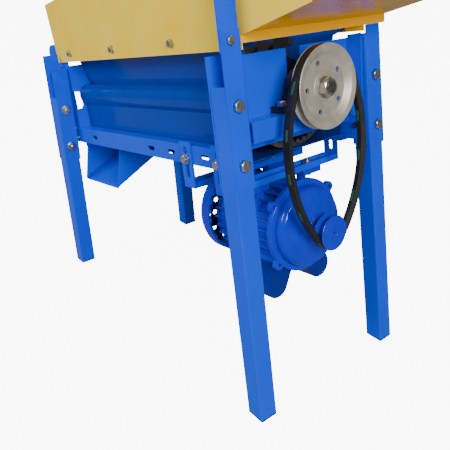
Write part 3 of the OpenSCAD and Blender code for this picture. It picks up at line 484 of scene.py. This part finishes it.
def make_drive_end_bell():
    """A cast bell: a square rim, a rolled shoulder, a shallow dome and a raised shaft nose."""
    # x is the bell's back face, seat the bearing's place in it and nose the opening for the shaft
    x, rim, seat, nose = 273.0, 94.5, 26, 12.6
    lug_radius, lug_hole, lug_depth, lug_circle = 11, 4.2, 10, rim + 2
    outline = [(seat, x + 18), (seat, x + 4), (70, x + 4), (70, x), (rim, x), (rim, x + 9), (rim - 2, x + 11),
               (rim - 11, x + 11), (rim - 11.6, x + 9.4), (rim - 13, x + 9.4)]
    outline += arc_points(rim - 25, x + 20, 12, 0, 90, 8)
    outline += [(56, x + 35), (44, x + 36.8)]
    outline += [(37, x + 38.6), (32.4, x + 41.6), (30, x + 45), (28.4, x + 49.4), (27.4, x + 50), (nose, x + 50),
                (nose, x + 38), (seat, x + 38)]
    bell = spun("drive_end_bell_cast", outline, MOTOR, 0.7)
    lugs = []
    for angle in (38, 142, 218, 322):
        # the angles start from level at the rear side and pass over the top
        turn = radians(angle - 90)
        y, z = -lug_circle * sin(turn), lug_circle * cos(turn)
        lug = rod(lug_radius, x, x + lug_depth, y, z, MOTOR, 40)
        drill(lug, rod(lug_hole, x - 2, x + lug_depth + 2, y, z, MOTOR, 24))
        # cut off the part of the lug that would reach in past the rim
        drill(lug, rod(rim - 7, x - 2, x + lug_depth + 2, 0, 0, MOTOR, TURNED_FACETS))
        ease_edges(lug, 1.2, 3)
        lugs.append(lug)
    make_active(bell)
    for lug in lugs:
        lug.select_set(True)
    bpy.ops.object.join()
    give_finish(bell, motor_paint)
    smooth(bell, 34)
    stand_for(bell, "drive_end_bell")


make_driven_pulley()
make_motor_pulley()
make_drive_end_bell()

# ---------- floor, light and camera ----------
def white_to_camera(tree, strength, given):
    """Lets the camera see plain white, while the machine gets only the given strength of light."""
    seen = add_node(tree, "ShaderNodeLightPath").outputs["Is Camera Ray"]
    glow = add_node(tree, "ShaderNodeMapRange", {"To Min": given, "To Max": GLARE}, {"Value": seen})
    tree.links.new(glow.outputs["Result"], strength)


bpy.ops.mesh.primitive_plane_add(size=80, location=(0, 0, 0))
floor = bpy.context.object
floor.name = "floor"
floor_paint, floor_tree, floor_shader, _ = new_finish("pale_floor", Roughness=0.85)
floor_shader.inputs["Base Color"].default_value = srgb("#8C8C8C")
floor_shader.inputs["Emission Color"].default_value = srgb("#FFFFFF")
white_to_camera(floor_tree, floor_shader.inputs["Emission Strength"], 0.05)
give_finish(floor, floor_paint)


def softbox(name, place, target, width, height, power):
    bpy.ops.object.light_add(type="AREA", location=place)
    lamp = bpy.context.object
    lamp.name = name
    lamp.data.shape = "RECTANGLE"
    lamp.data.size = width
    lamp.data.size_y = height
    lamp.data.energy = power
    lamp.rotation_euler = (Vector(target) - Vector(place)).to_track_quat("-Z", "Y").to_euler()
    return lamp


middle = Vector((0, 0, 0.45))
softbox("key_right", (3.0, -1.2, 1.9), middle, 1.3, 1.3, 105)
softbox("left", (-1.2, -2.9, 2.0), middle, 1.6, 1.2, 76)
softbox("top", (0, 0.2, 3.2), middle, 1.6, 1.6, 34)

world = bpy.data.worlds.new("studio")
bpy.context.scene.world = world
world.use_nodes = True
backdrop = world.node_tree.nodes["Background"]
backdrop.inputs["Color"].default_value = srgb("#FFFFFF")
white_to_camera(world.node_tree, backdrop.inputs["Strength"], 0.2)

# The camera stands off the pulley end at the chute side and looks down; angles are in radians, lengths in metres.
AZIMUTH = 0.8969
ELEVATION = 0.4794
ROLL = -0.0191
DISTANCE = 1.28485
AIM = Vector((0.09455, -0.03466, 0.22074))
back = Vector((sin(AZIMUTH) * cos(ELEVATION), -cos(AZIMUTH) * cos(ELEVATION), sin(ELEVATION)))
level = Vector((cos(AZIMUTH), sin(AZIMUTH), 0))
upright = back.cross(level)
right = cos(ROLL) * level + sin(ROLL) * upright
top = cos(ROLL) * upright - sin(ROLL) * level
bpy.ops.object.camera_add()
camera = bpy.context.object
camera.matrix_world = Matrix((right, top, back)).transposed().to_4x4()
camera.location = AIM + back * DISTANCE
camera.data.sensor_width = 36
camera.data.lens = 42.43
camera.data.clip_start = 0.05
bpy.context.scene.camera = camera

deselect_all()
